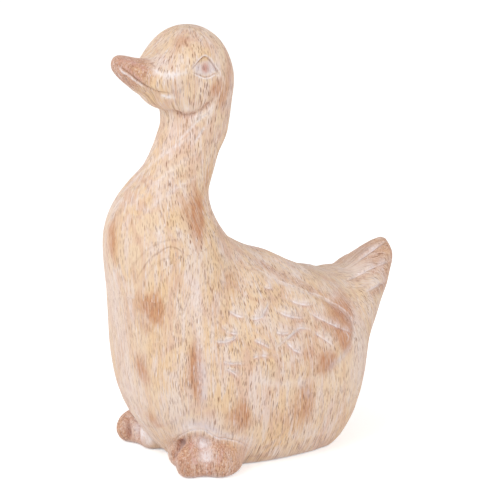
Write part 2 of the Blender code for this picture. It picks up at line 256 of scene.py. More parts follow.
def unrolled(tree, place):
    """The place counted round the statue and up its slopes, so that the grain follows the surface."""
    split = tree.nodes.new("ShaderNodeSeparateXYZ")
    tree.links.new(place, split.inputs["Vector"])
    x, y, z = split.outputs
    neck = ramp(tree, z, *NECK_LEAN)
    off_neck = flat_distance(tree, x, maths(tree, "SUBTRACT", y, neck))
    near_neck = maths(tree, "LESS_THAN", off_neck, NECK_REACH)
    in_neck = both(tree, near_neck, maths(tree, "GREATER_THAN", z, NECK_START))
    front = between(tree, in_neck, BODY_AXES[0], neck)
    rear = between(tree, in_neck, BODY_AXES[1], neck)
    spine = maths(tree, "MINIMUM", maths(tree, "MAXIMUM", y, front), rear)
    behind = maths(tree, "SUBTRACT", y, spine)
    turn = maths(tree, "ARCTAN2", behind, maths(tree, "ABSOLUTE", x))
    radius = between(tree, in_neck, BODY_RADIUS, NECK_RADIUS)
    round_it = maths(tree, "MULTIPLY_ADD", turn, radius, spine)
    join = tree.nodes.new("ShaderNodeCombineXYZ")
    tree.links.new(both(tree, round_it, maths(tree, "SIGN", x)), join.inputs["X"])
    out = flat_distance(tree, x, behind)
    tree.links.new(maths(tree, "MULTIPLY_ADD", out, -SLOPE_SHARE, z), join.inputs["Z"])
    return join.outputs["Vector"]


def flat_distance(tree, x, y):
    """How far x and y lie from the axis, seen from above."""
    square = maths(tree, "MULTIPLY_ADD", x, x, both(tree, y, y))
    return maths(tree, "SQRT", square)


def cells(tree, place, width, length, offset=0.0):
    """The place counted in cells of that width across the grain and that length along it."""
    stretch = tree.nodes.new("ShaderNodeMapping")
    tree.links.new(place, stretch.inputs["Vector"])
    stretch.inputs["Scale"].default_value = (1 / width, 1 / width, 1 / length)
    stretch.inputs["Location"].default_value = (offset, offset / 2, offset / 3)
    return stretch.outputs["Vector"]


def noise(tree, place, width, length, offset=0.0, detail=2.0, roughness=0.5, distortion=0.0):
    step = tree.nodes.new("ShaderNodeTexNoise")
    tree.links.new(cells(tree, place, width, length, offset), step.inputs["Vector"])
    step.inputs["Scale"].default_value = 1.0
    step.inputs["Detail"].default_value = detail
    step.inputs["Roughness"].default_value = roughness
    step.inputs["Distortion"].default_value = distortion
    return step.outputs["Fac"]


def pores(tree, place, width, length, reach, offset=0.0):
    """Short vessels along the grain, each of its own strength and filling that share of its cell."""
    step = tree.nodes.new("ShaderNodeTexVoronoi")
    tree.links.new(cells(tree, place, width, length, offset), step.inputs["Vector"])
    step.inputs["Scale"].default_value = 1.0
    dash = ramp(tree, step.outputs["Distance"], reach * PORE_CORE, reach, 1.0, 0.0)
    split = tree.nodes.new("ShaderNodeSeparateColor")
    tree.links.new(step.outputs["Color"], split.inputs["Color"])
    return both(tree, dash, ramp(tree, split.outputs["Red"], *PORE_STRENGTHS))


def ring_lines(tree, place):
    """Thin lines where the surface cuts the growth rings."""
    move = tree.nodes.new("ShaderNodeMapping")
    tree.links.new(place, move.inputs["Vector"])
    move.inputs["Location"].default_value = RING_AXIS
    move.inputs["Scale"].default_value = (1, 1, RING_RISE)
    rings = tree.nodes.new("ShaderNodeTexWave")
    rings.wave_type = "RINGS"
    rings.rings_direction = "Z"
    tree.links.new(move.outputs["Vector"], rings.inputs["Vector"])
    rings.inputs["Scale"].default_value = 2 * math.pi / WAVE_RADIANS / RING_SPACING
    rings.inputs["Distortion"].default_value = RING_WANDER
    rings.inputs["Detail"].default_value = RING_DETAIL
    rings.inputs["Detail Scale"].default_value = RING_DETAIL_SCALE
    return ramp(tree, rings.outputs["Fac"], *RING_STEP)


def painted(tree, name):
    """A mask that is painted on the skin's points."""
    step = tree.nodes.new("ShaderNodeAttribute")
    step.attribute_name = name
    return step.outputs["Fac"]


# Colours of the wood and its wash, and of the painted shade, as linear red, green and blue
CREAM = (0.84, 0.64, 0.45, 1)
HONEY = (0.83, 0.59, 0.36, 1)
PINK_WOOD = (0.74, 0.50, 0.40, 1)
WASH = (0.83, 0.71, 0.67, 1)
CHALK = (0.95, 0.88, 0.88, 1)
# Reddish brown of the stains, also painted shade in the flank's crease, along the wing's rim and at the
# nape's edge
STAIN_AND_SHADE = (0.55, 0.24, 0.11, 1)
GRAIN_DARK = (0.62, 0.35, 0.24, 1)
# Dark of the pores, also painted shade in the cuts and under the edges of feathers, ridges, lids and the
# upper bill
PORE_AND_SHADE_DARK = (0.30, 0.12, 0.06, 1)
# Rose, in part painted shade under the feathers' ends, in the toes' grooves and under the upper bill
ROSE = (0.61, 0.33, 0.28, 1)
# Brown of the bare wood, also brown painted shade under the jaw, in the flank's crease and inside the wing's
# tip
BARE_WOOD_AND_SHADE_BROWN = (0.53, 0.25, 0.155, 1)
# Lilac grey, painted shade in creases, under the wing's rim and at the nape's edge; also the grey of the
# eye's opening
LILAC = (0.60, 0.50, 0.53, 1)

# The grain: how far it wanders, over what length and how finely; then the growth rings. Blender's wave
# texture turns WAVE_RADIANS in each unit.
GRAIN_BEND = 0.004
GRAIN_BEND_LENGTH = 0.045
GRAIN_BEND_DETAIL = 1.0
WAVE_RADIANS = 20
RING_AXIS = (-0.020, 0.030, 0.0)
RING_RISE = 0.22
RING_SPACING = 0.017
RING_WANDER = 2.5
RING_DETAIL = 2.0
RING_DETAIL_SCALE = 0.6
RING_STEP = (0.95, 1.0)

# How the grain is unrolled: the body's front and rear axes and its radius, the neck's radius and its
# leaning axis as heights and setbacks, where the neck's own grain starts and how far it reaches, and
# how fast the grain climbs a slope
BODY_AXES = (-0.045, 0.045)
BODY_RADIUS = 0.085
NECK_RADIUS = 0.032
NECK_LEAN = (0.200, 0.285, -0.090, -0.058)
NECK_START = 0.150
NECK_REACH = 0.050
SLOPE_SHARE = 0.8

# The noises: the cell across and along the grain in metres, an offset that sets them apart, and the
# detail, roughness and distortion
STREAK_NOISE = (0.0009, 0.014, 2.2, 3, 0.6)
SECOND_STREAK_NOISE = (0.0011, 0.020, 9.1, 3, 0.6)
HONEY_NOISE = (0.030, 0.070, 1.7, 3, 0.5, 0.8)
PINK_NOISE = (0.020, 0.045, 4.1, 4, 0.6, 1.0)
STAIN_NOISE = (0.0050, 0.010, 5.5, 4, 0.65, 0.6)
SPECKLE_NOISE = (0.0011, 0.0022, 6.6, 2, 0.6)
DOT_NOISE = (0.0011, 0.0016, 12.4, 2, 0.5)
FLECK_NOISE = (0.0012, 0.0030, 14.8, 2, 0.5)
WASH_NOISE = (0.013, 0.050, 7.3, 4, 0.6, 1.0)
CROWD_NOISE = (0.014, 0.030, 3.3, 3, 0.6, 0.5)
BREAK_NOISE = (0.0017, 0.0030, 8.8, 3, 0.6)

# The pores: the cell across and along the grain, the share of it that a pore fills, and an offset;
# then the share of a pore that is fully dark, and how its strength is drawn
LONG_PORES = (0.0013, 0.0110, 0.31)
SHORT_PORES = (0.0010, 0.0085, 0.31, 4.0)
FINE_PORES = (0.0008, 0.0060, 0.32, 6.0)
FILLED_PORES = (0.0012, 0.0100, 0.32, 11.0)
PORE_CORE = 0.5
PORE_STRENGTHS = (0.0, 0.8, 0.25, 1.0)

# Smooth steps: the input from and to, and the strengths there where they aren't 0 and 1. CALM_FRONT
# goes by setback: the pores are weaker on the chest.
HONEY_STEP = (0.42, 0.62)
PINK_STEP = (0.44, 0.68)
STREAK_STEP = (0.44, 0.70)
STREAK_IN_PINK = (0.0, 1.0, 0.40, 0.65)
RINGS_IN_PINK = (0.0, 1.0, 0.35, 0.05)
STAIN_STEP = (0.34, 1.10)
STAIN_IN_STREAKS = (0.38, 0.62, 0.64, 1.0)
SPECKLE_STEP = (0.36, 0.62, 0.45, 1.0)
DOT_STEP = (0.56, 0.66)
FLECK_STEP = (0.58, 0.68)
WASH_STEP = (0.88, 1.14)
CROWD_STEP = (0.34, 0.58, 0.45, 1.0)
CALM_FRONT = (-0.118, -0.080, 0.50, 0.95)
FILLED_IN_WASH = (0.0, 1.0, 0.10, 0.6)
BREAK_STEP = (0.36, 0.54, 0.55, 1.0)

# Shares: how strongly each layer covers what is under it
PINK_SHARE = 0.65
STAIN_RAGGEDNESS = 0.55
DOT_SHARE = 0.90
FLECK_SHARE = 0.42
STREAKS_IN_WASH = 0.9
PAINTED_IN_WASH = 0.22
WASH_KEPT_OFF = 0.80
WASH_SHARE = 0.60
FLAT_WASH_SHARE = 0.48
FINE_PORE_SHARE = 0.60

# The finish: a dull, chalky surface, and the relief of the grain as a height in metres and the pores'
# and streaks' shares of it
ROUGHNESS = 0.75
GLOSS = 0.22
SHEEN = 0.25
SHEEN_ROUGHNESS = 0.5
SHEEN_TINT = (1.0, 0.84, 0.86, 1)
BUMP_STRENGTH = 0.7
BUMP_HEIGHT = 0.0005
PORE_DEPTH = -1.0
STREAK_DEPTH = -0.8


def whitewashed_wood():
    material = bpy.data.materials.new("whitewashed_wood")
    material.use_nodes = True
    tree = material.node_tree
    shader = tree.nodes["Principled BSDF"]
    place = warped_place(tree)
    grain_place = unrolled(tree, place)
    streak = noise(tree, grain_place, *STREAK_NOISE)
    second_streak = noise(tree, grain_place, *SECOND_STREAK_NOISE)

    # The wood: cream and honey, pinker in places, with darker grain and growth rings
    honey = ramp(tree, noise(tree, place, *HONEY_NOISE), *HONEY_STEP)
    colour = mix(tree, honey, CREAM, HONEY)
    pink = ramp(tree, noise(tree, place, *PINK_NOISE), *PINK_STEP)
    colour = mix(tree, both(tree, pink, PINK_SHARE), colour, PINK_WOOD)
    grain = both(tree, ramp(tree, streak, *STREAK_STEP), ramp(tree, pink, *STREAK_IN_PINK))
    colour = mix(tree, grain, colour, GRAIN_DARK)
    rings = both(tree, ring_lines(tree, place), ramp(tree, pink, *RINGS_IN_PINK))
    colour = mix(tree, rings, colour, GRAIN_DARK)

    # The stains with their ragged edges, and the brown painted shade among them; then the brown places,
    # speckled, dotted and flecked, with the strokes' brown painted shade
    patch = noise(tree, place, *STAIN_NOISE)
    edge = maths(tree, "MULTIPLY_ADD", patch, STAIN_RAGGEDNESS, painted(tree, "stain_and_shade"))
    stain_and_shade = both(tree, ramp(tree, edge, *STAIN_STEP), ramp(tree, streak, *STAIN_IN_STREAKS))
    colour = mix(tree, stain_and_shade, colour, STAIN_AND_SHADE)
    speckle = ramp(tree, noise(tree, place, *SPECKLE_NOISE), *SPECKLE_STEP)
    brown = both(tree, painted(tree, "brown"), speckle)
    colour = mix(tree, brown, colour, BARE_WOOD_AND_SHADE_BROWN)
    dots = ramp(tree, noise(tree, place, *DOT_NOISE), *DOT_STEP)
    colour = mix(tree, both(tree, dots, both(tree, painted(tree, "brown"), DOT_SHARE)), colour, PORE_AND_SHADE_DARK)
    flecks = ramp(tree, noise(tree, place, *FLECK_NOISE), *FLECK_STEP)
    colour = mix(tree, both(tree, flecks, both(tree, painted(tree, "brown"), FLECK_SHARE)), colour, CHALK)
    # Rose, in part painted shade in grooves and under overhanging edges
    colour = mix(tree, painted(tree, "rose"), colour, ROSE)

    # The wash, thinner on what is stained or brown
    lodged = maths(tree, "MULTIPLY_ADD", second_streak, STREAKS_IN_WASH, noise(tree, place, *WASH_NOISE))
    lodged = maths(tree, "MULTIPLY_ADD", painted(tree, "wash"), PAINTED_IN_WASH, lodged)
    washed = ramp(tree, lodged, *WASH_STEP)
    kept_off = both(tree, maths(tree, "MAXIMUM", stain_and_shade, brown), WASH_KEPT_OFF)
    kept_clear = maths(tree, "SUBTRACT", 1.0, kept_off)
    flat_wash = both(tree, painted(tree, "wash"), FLAT_WASH_SHARE)
    all_wash = maths(tree, "MAXIMUM", both(tree, washed, WASH_SHARE), flat_wash)
    colour = mix(tree, both(tree, all_wash, kept_clear), colour, WASH)

    # The pores, open and dark, and some of them filled with the wash
    crowded = ramp(tree, noise(tree, place, *CROWD_NOISE), *CROWD_STEP)
    dashes = both(tree, pores(tree, grain_place, *LONG_PORES), crowded)
    second_dashes = both(tree, pores(tree, grain_place, *SHORT_PORES), crowded)
    fine = both(tree, pores(tree, grain_place, *FINE_PORES), FINE_PORE_SHARE)
    dark = maths(tree, "MAXIMUM", maths(tree, "MAXIMUM", dashes, second_dashes), fine)
    axes = tree.nodes.new("ShaderNodeSeparateXYZ")
    tree.links.new(place, axes.inputs["Vector"])
    calm_front = ramp(tree, axes.outputs["Y"], *CALM_FRONT)
    colour = mix(tree, both(tree, dark, calm_front), colour, PORE_AND_SHADE_DARK)
    filled = both(tree, pores(tree, grain_place, *FILLED_PORES), ramp(tree, washed, *FILLED_IN_WASH))
    colour = mix(tree, filled, colour, CHALK)

    # What the strokes paint: broken chalk; lilac, mostly painted shade; and dark lines, painted shade in cuts
    # and under edges, and the growth rings' lines
    broken = ramp(tree, noise(tree, place, *BREAK_NOISE), *BREAK_STEP)
    colour = mix(tree, both(tree, painted(tree, "chalk"), broken), colour, CHALK)
    # Lilac, painted shade in creases, under the wing's rim and at the nape's edge, and grey in the eye's
    # opening
    colour = mix(tree, both(tree, painted(tree, "lilac"), broken), colour, LILAC)
    # Dark lines: painted shade in the cuts and under overhanging edges, and the growth rings' lines
    colour = mix(tree, painted(tree, "dark"), colour, PORE_AND_SHADE_DARK)
    tree.links.new(colour, shader.inputs["Base Color"])
    shader.inputs["Roughness"].default_value = ROUGHNESS
    shader.inputs["Specular IOR Level"].default_value = GLOSS
    shader.inputs["Sheen Weight"].default_value = SHEEN
    shader.inputs["Sheen Roughness"].default_value = SHEEN_ROUGHNESS
    shader.inputs["Sheen Tint"].default_value = SHEEN_TINT
    height = maths(tree, "MULTIPLY_ADD", dark, PORE_DEPTH, both(tree, streak, STREAK_DEPTH))
    bump = tree.nodes.new("ShaderNodeBump")
    bump.inputs["Strength"].default_value = BUMP_STRENGTH
    bump.inputs["Distance"].default_value = BUMP_HEIGHT
    tree.links.new(height, bump.inputs["Height"])
    tree.links.new(bump.outputs["Normal"], shader.inputs["Normal"])
    return material


# Carving, brushed colour and painted shade, as lines drawn on the photograph in pixels. A line that runs to
# the right can stand proud on its upper side. First the cuts.

FEATHER_ENDS = (
    ((289, 299), (297, 302.5), (306, 304.2), (313, 303.5)),
    ((276, 310), (287, 315), (297, 317.2), (304, 317.6)),
    ((309, 312), (320, 318), (334, 324.6), (343, 328.5), (353, 332.5)),
    ((222, 325), (228, 331), (234.5, 333.5), (241, 333.5)),
    ((229, 310.5), (236, 315), (243.5, 317)),
    ((248, 318), (256, 318.5), (262.5, 316), (266, 309), (270, 302)),
    ((215, 341), (224, 342), (232, 339.5), (238, 335)),
    ((254, 339.5), (262.5, 343.7), (272, 348.5)),
    ((276, 348), (283, 342.4), (291.8, 334.8), (299.5, 328.4), (306, 328.2), (312.5, 330)),
    ((312.5, 330), (319, 335), (326.5, 340), (333, 345)),
    ((286, 341), (290, 345), (295, 350), (302, 353)),
    ((253, 358), (261, 355.5), (269, 356.5)),
    ((223.5, 361.5), (230.5, 363.5), (243.5, 363.5)),
    ((226, 369), (233, 372), (238.5, 378)),
    ((276, 332), (283, 333.5), (290, 332.5)),
    ((264, 286), (268, 287.5), (272, 287)),
)
WING_RIM = (
    (231, 262), (241, 266), (251, 268.5), (261, 271.5), (271, 278), (283, 283), (294.5, 287), (308.5, 293),
    (321, 297), (334, 304.5), (343, 310), (349.5, 317), (353.3, 326), (353.7, 335), (350.5, 344), (344, 354),
    (336.5, 362), (325, 371),
)
WING_TIP = ((318, 296), (334, 304.5), (343, 310), (349.5, 317), (353, 326), (353, 335), (350, 344))
BACK_FOLD = (
    (247, 249), (258, 251), (268, 254), (276.5, 260), (286.5, 267.5), (297, 275), (308.5, 283), (320, 288),
)
TIP_QUILL = ((345.5, 331), (348.6, 337), (346.7, 342.4))
TAIL_RIDGES = (
    ((357, 261.5), (369.5, 252), (378, 246), (385, 241)),
    ((345, 280.5), (358, 275), (369.5, 268.5), (382.5, 263.5), (393, 259.5)),
    ((364, 292), (376, 286.5), (387.5, 280)),
)
MOUTH = (
    (116, 61.5), (121.5, 68), (127.5, 72.5), (132.5, 76.5), (138.5, 81.2), (144, 85), (151, 88.8),
    (158, 91.3), (165, 92.8), (172, 93.5),
)
JAW = (
    (164, 112), (171.5, 111), (177, 112.5), (184, 116), (192, 114.8), (199.5, 110.8), (206, 106.5),
    (212.5, 100.5), (220, 92.5),
)
UPPER_LID = ((189.5, 71.5), (195, 66), (199.5, 60.5), (204.5, 56.8), (209.5, 60), (214.5, 67), (220.5, 75))
LOWER_LID = ((191, 71.5), (198, 74.6), (204.5, 77.2), (209.7, 76.5), (214.8, 73.8), (221, 75))
PUPIL = (205.3, 68.0)
TOE_GROOVES = (
    ((186.5, 437), (180, 446), (172.7, 458), (170.5, 466)),
    ((201, 437), (203, 448), (206, 458), (207, 470)),
    ((128.5, 416), (128, 424), (128.5, 432), (129.5, 441)),
)
DARK_GROOVES = (TOE_GROOVES[0], TOE_GROOVES[2])
FOOT_CREASES = (
    ((172, 446), (178, 438), (186, 433), (193.5, 430.4), (204, 430.6), (210, 434.5), (218, 439),
     (225, 439.3), (240, 443), (252, 450)),
    ((133, 409), (139, 417), (144, 426), (150, 436), (160, 444)),
)
NECK_STREAKS = (
    ((175, 144), (186, 133), (198, 121), (214, 109)),
    ((193, 146), (199, 136), (206, 125)),
)

# Lines of colour and of painted shade, most of them with no cut
FLANK_CREASE = ((193, 340), (197, 358), (199.5, 378), (198, 402))
UPPER_BAND = ((240, 252), (262, 264), (290, 278.5), (315, 290.5), (335, 303))
BILL_EDGE = ((121, 64.5), (126, 67.5), (131.5, 72.5), (137.5, 77.5), (143, 82))
LOWER_BILL = ((118, 65), (122, 71.5), (128, 75), (134, 79.8), (140, 84), (146, 88))
EYE_STREAK = ((190, 72), (180, 73.5), (168, 75.5), (157, 72), (150, 66))
MOUTH_CORNER = ((160, 95.5), (167, 96.5), (174, 98))
CHIN_WASH = ((177, 105), (184, 108), (191, 107))
JAW_WASH = ((188, 122), (198, 117.5), (208, 111), (216, 105))
BREAST_WASH = ((199, 260), (197, 290), (198, 330), (201, 380), (203, 415))
TOE_LINE = ((187, 436), (180, 446), (173, 458))
TOE_EDGES = (
    ((192, 438), (191, 449), (194, 460), (199, 470)),
    ((222, 446), (221, 456), (217, 467)),
)
TOE_PALE = ((200, 435), (204, 445), (206, 456), (206, 466))
FAR_FOOT_PALE = ((134, 419), (139, 428), (147, 438), (155, 444))
BILL_TOP = ((117, 60), (124, 60.5), (132, 62.5), (140, 66), (148, 72))
NOSTRIL = ((151, 64), (153, 65), (155, 66.5))
PALE_SWEEPS = (
    ((116, 203), (131, 183), (150, 165), (169, 151), (186, 139), (203, 126)),
    ((124, 214), (143, 194), (163, 177), (184, 161), (203, 147)),
    ((140, 218), (160, 200), (180, 186), (203, 174)),
)
BROWN_SWEEPS = (
    ((119, 208), (137, 188), (157, 171), (177, 156), (194, 143)),
    ((160, 189), (174, 180), (188, 173), (202, 167)),
    ((150, 208), (169, 195), (189, 184), (206, 176)),
    ((186, 151), (198, 139), (208, 125), (216, 112)),
)
INNER_ARCS = (
    ((142, 288), (147, 276), (155, 266), (164, 259), (172, 259), (175, 268), (173, 280)),
    ((126, 282), (131, 270), (139, 258), (150, 248), (162, 242), (174, 240), (186, 244)),
)
# Lilac grey painted shade: under the wing's rim and its lower edge, in the flank's crease, where the foot
# meets the body and at the nape's edge
LILAC_SHADE_LINES = (
    ((352, 342), (346, 353), (338, 361), (326, 370)),
    ((300, 382), (306, 390), (309, 399)),
    ((203, 358), (204, 385), (203, 410)),
    ((183, 428), (196, 424), (212, 429), (228, 434)),
    ((230, 70), (231, 92), (228, 112)),
)
UNDER_WING = ((238, 372), (258, 380), (282, 384), (306, 381), (326, 376))
RING_ARC = (
    (133, 287), (139, 275), (146, 264), (152, 257), (160, 252), (166, 248), (172, 247), (178, 249),
    (182, 253), (183, 262), (181, 272),
)


class Stroke:
    """Lines of one kind, with lengths in metres: half the width of the cut or the colour and the cut's
    depth; how high the skin stands proud above the line and how far that reaches; how strong its chalk,
    brown, rose, dark and lilac are, and how far above the line the colour sits; how strong the chalk is
    that is smeared above the line; and how many times the skin is made finer near it."""

    def __init__(self, lines, half, depth=0.0, proud=0.0, reach=0.0, chalk=0.0, brown=0.0, rose=0.0,
                 dark=0.0, lilac=0.0, offset=0.0, smear=0.0, fine=0):
        self.lines = lines
        self.half = half
        self.depth = depth
        self.proud = proud
        self.reach = reach
        self.colours = {"chalk": chalk, "brown": brown, "rose": rose, "dark": dark, "lilac": lilac}
        self.offset = offset
        self.smear = smear
        self.fine = fine


STROKES = (
    Stroke(FEATHER_ENDS, 0.0013, 0.0013, 0.0014, 0.0060, chalk=1.0, smear=0.80, fine=2),
    # Rose painted shade under each feather's end
    Stroke(FEATHER_ENDS, 0.0012, rose=0.50, offset=-0.0018, fine=2),
    # Dark painted shade just under each feather's end
    Stroke(FEATHER_ENDS, 0.0006, dark=0.30, offset=-0.0013, fine=2),
    Stroke((WING_RIM,), 0.0020, 0.0011, -0.0006, 0.0100, chalk=0.30, fine=1),
    Stroke((BACK_FOLD,), 0.0016, 0.0009, 0.0006, 0.0080, chalk=0.45, offset=-0.0012, fine=1),
    Stroke((TIP_QUILL,), 0.0007, 0.0006, chalk=0.9, fine=2),
    # Brown painted shade inside the wing's tip, so that its rim shows
    Stroke((WING_TIP,), 0.0046, brown=0.72, offset=-0.0042, fine=1),
    Stroke((WING_RIM,), 0.0009, chalk=0.65, offset=0.0024, fine=1),
    # A dark line of painted shade along the wing's tip
    Stroke((WING_TIP,), 0.0007, dark=0.35, fine=1),
    Stroke(TAIL_RIDGES, 0.0010, 0.0018, 0.0013, 0.0060, chalk=1.0, smear=0.55, fine=2),
    Stroke(TAIL_RIDGES, 0.0026, brown=0.90, offset=-0.0038, fine=2),
    # Dark painted shade just under each ridge
    Stroke(TAIL_RIDGES, 0.0006, dark=0.40, offset=-0.0013, fine=2),
    # The dark line along the mouth is painted shade under the upper bill
    Stroke((MOUTH,), 0.0008, 0.0014, 0.0009, 0.0040, dark=0.75, offset=0.0006, fine=2),
    # Painted shade under the cheek's overhang: brown, and a dark line along the jaw
    Stroke((JAW,), 0.0030, 0.0030, 0.0016, 0.0080, brown=0.80, fine=1),
    Stroke((JAW,), 0.0009, dark=0.38, fine=1),
    Stroke(TOE_GROOVES, 0.0026, 0.0042, fine=1),
    # Rose painted shade in the toes' grooves
    Stroke(DARK_GROOVES, 0.0024, rose=0.60, fine=1),
    # Dark painted shade in the toes' grooves
    Stroke(DARK_GROOVES, 0.0010, dark=0.75, fine=1),
    Stroke(FOOT_CREASES, 0.0010, 0.0014, chalk=1.0, fine=2),
    Stroke((FOOT_CREASES[0],), 0.0046, chalk=0.62, offset=0.0040),
    Stroke(NECK_STREAKS, 0.0010, 0.0007, 0.0003, 0.0030, chalk=0.85, smear=0.25, fine=1),
    # Brown painted shade in the crease between the breast and the flank
    Stroke((FLANK_CREASE,), 0.0028, 0.0014, brown=0.55, fine=1),
    Stroke((UPPER_LID,), 0.0008, 0.0011, 0.0010, 0.0024, chalk=0.85, offset=0.0011, fine=3),
    Stroke((LOWER_LID[::-1],), 0.0008, 0.0008, 0.0006, 0.0020, chalk=0.75, offset=0.0009, fine=3),
    # Dark painted shade in the lids' cuts
    Stroke((UPPER_LID,), 0.0006, dark=0.62, fine=3),
    Stroke((LOWER_LID,), 0.0005, dark=0.42, fine=3),
    Stroke((UPPER_BAND,), 0.0050, brown=0.62),
    Stroke(TOE_EDGES, 0.0018, rose=0.70, fine=1),
    Stroke((TOE_LINE,), 0.0009, chalk=1.0, fine=2),
    Stroke((TOE_PALE,), 0.0054, chalk=1.0),
    Stroke((FAR_FOOT_PALE,), 0.0066, chalk=1.0),
    # Rose painted shade along the upper bill's edge, over the mouth
    Stroke((BILL_EDGE,), 0.0011, rose=0.90, fine=2),
    Stroke((LOWER_BILL,), 0.0010, chalk=1.0, fine=2),
    Stroke((EYE_STREAK,), 0.0020, chalk=0.95),
    Stroke((MOUTH_CORNER,), 0.0022, chalk=0.95),
    Stroke((CHIN_WASH,), 0.0035, chalk=0.50),
    Stroke((JAW_WASH,), 0.0034, chalk=0.55),
    Stroke((BREAST_WASH,), 0.0030, chalk=0.35),
    Stroke((RING_ARC,), 0.0006, dark=0.50, fine=2),
    Stroke(INNER_ARCS, 0.0007, dark=0.25, fine=1),
    Stroke(PALE_SWEEPS, 0.0015, chalk=0.42),
    Stroke(BROWN_SWEEPS, 0.0012, brown=0.42),
    Stroke((UNDER_WING,), 0.0034, chalk=0.36),
    # Lilac grey painted shade in creases and under the wing's rim
    Stroke(LILAC_SHADE_LINES, 0.0030, lilac=0.42),
    Stroke((BILL_TOP,), 0.0028, rose=0.70, fine=1),
    # The nostril's dark is painted shade in its hole
    Stroke((NOSTRIL,), 0.0008, 0.0005, dark=0.7, fine=2),
)

# How a line is sampled, in pixels; how far out it still counts, in half widths; how fast it fades in
# and out at its ends, and how uneven its strength is, over what length; and how far from the middle of
# the statue its copy on the far side starts
SAMPLE_STEP = 0.4
STROKE_LIMIT = 3
END_FADE = 4
EVEN_SHARE = 0.85
UNEVENNESS = 0.7
UNEVEN_LENGTH = 0.005
MIDLINE = 0.012

# The eye: the ball's reach and rise and the ring cut round it in metres, with the ring's middle and
# width as shares of the reach; the colours of the ball and of the opening between the lids; and the
# opening's middle in pixels and reach in metres
PUPIL_REACH = 0.0044
PUPIL_RISE = 0.0009
PUPIL_RING = 0.0004
PUPIL_RING_PLACE = 1.25
PUPIL_RING_WIDTH = 0.3
PUPIL_ROSE = 0.85
PUPIL_BROWN = 0.95
EYE_BALL_LILAC = 0.50
EYE_BALL_CHALK = 0.62
EYE_OPENING = (205.5, 68.5)
EYE_OPENING_REACH = (0.0100, 0.0052)

# Brown places: the bill, the tail's end and the feet, as a middle and a reach in metres, and a
# strength; then how sharply they end, and how much brown is left at their reach
BROWN_PLACES = (
    ((0, -0.121, 0.331), (0.026, 0.022, 0.021), 0.85),
    ((0, 0.122, 0.136), (0.030, 0.026, 0.026), 0.64),
    ((0.050, -0.082, 0.010), (0.034, 0.034, 0.024), 0.88),
)
PLACE_EDGE = 2.5
PLACE_LEVEL = 0.5

# The pale rim of the base, and how high it reaches
RIM_WASH = 0.7
RIM_HEIGHT = 0.0022

# Stains, and brown painted shade in the flank's crease, along the wing's rim and at the nape's edge: the
# middle in pixels, the reach across and along the grain in metres, the strength, and the share of the reach
# that is left on the right, where many of them end sharply. PATCH_EDGE is how sharply they end elsewhere, and
# FAR_SIDE_SHIFT moves their copies on the far side.
PATCH_EDGE = 1.2
FAR_SIDE_SHIFT = (0, 0.018, -0.012)
STAINS_AND_SHADES = (
    ((199, 217), 0.013, 0.021, 0.95, 0.40),
    ((188, 209), 0.009, 0.012, 0.50, 1.0),
    ((157, 310), 0.019, 0.015, 0.95, 0.35),
    ((145, 324), 0.010, 0.014, 0.50, 1.0),
    ((143, 371), 0.010, 0.017, 0.75, 0.60),
    # Brown painted shade in the crease between the breast and the flank
    ((198.5, 374), 0.0105, 0.036, 1.00, 0.35),
    ((244, 416), 0.016, 0.019, 0.78, 0.40),
    ((307, 404), 0.020, 0.030, 0.62, 0.50),
    # Brown painted shade along the wing's rim, in the next two rows
    ((346, 321), 0.025, 0.019, 1.00, 0.35),
    ((349, 337), 0.014, 0.012, 1.00, 0.28),
    ((329, 361), 0.017, 0.013, 0.78, 0.50),
    ((314, 338), 0.030, 0.030, 0.36, 1.0),
    ((298, 322), 0.013, 0.011, 0.45, 1.0),
    ((308, 352), 0.014, 0.009, 0.50, 1.0),
    ((181, 43), 0.010, 0.009, 0.45, 1.0),
    # Brown painted shade at the nape's edge behind the cheek, in the next two rows
    ((217, 88), 0.006, 0.012, 0.75, 1.0),
    ((225, 92), 0.008, 0.030, 0.62, 1.0),
    ((112, 238), 0.009, 0.022, 0.60, 1.0),
    ((153, 420), 0.010, 0.012, 0.60, 1.0),
    ((232, 282), 0.018, 0.014, 0.42, 1.0),
    ((207, 178), 0.006, 0.026, 0.50, 1.0),
)

# Places where more of the wash is left, in the same way
WASHES = (
    ((113, 300), 0.018, 0.055, 0.85, 1.0),
    ((135, 400), 0.022, 0.028, 0.60, 1.0),
    ((161, 176), 0.010, 0.030, 0.60, 1.0),
    ((194, 285), 0.010, 0.040, 0.65, 1.0),
    ((203, 380), 0.003, 0.030, 0.80, 1.0),
    ((180, 410), 0.016, 0.024, 0.60, 1.0),
    ((268, 400), 0.030, 0.022, 0.25, 1.0),
    ((290, 320), 0.020, 0.016, 0.45, 1.0),
    ((140, 428), 0.018, 0.016, 1.00, 1.0),
    ((359, 350), 0.014, 0.040, 0.80, 1.0),
    ((362, 268), 0.018, 0.013, 1.00, 1.0),
    ((158, 62), 0.009, 0.010, 0.80, 1.0),
    ((200, 424), 0.030, 0.010, 1.00, 1.0),
    ((290, 273), 0.040, 0.008, 0.40, 1.0),
)


def curve_pixels(points):
    """A smooth curve through the points, a Catmull-Rom spline, sampled closely."""
    ends = [points[0]] + list(points) + [points[-1]]
    found = []
    for before, start, end, after in zip(ends, ends[1:], ends[2:], ends[3:]):
        count = max(2, int(math.dist(start, end) / SAMPLE_STEP))
        for step in range(count):
            share = step / count
            found.append([
                0.5 * (2 * b + (c - a) * share + (2 * a - 5 * b + 4 * c - d) * share ** 2
                       + (3 * b - a - 3 * c + d) * share ** 3)
                for a, b, c, d in zip(before, start, end, after)])
    return found


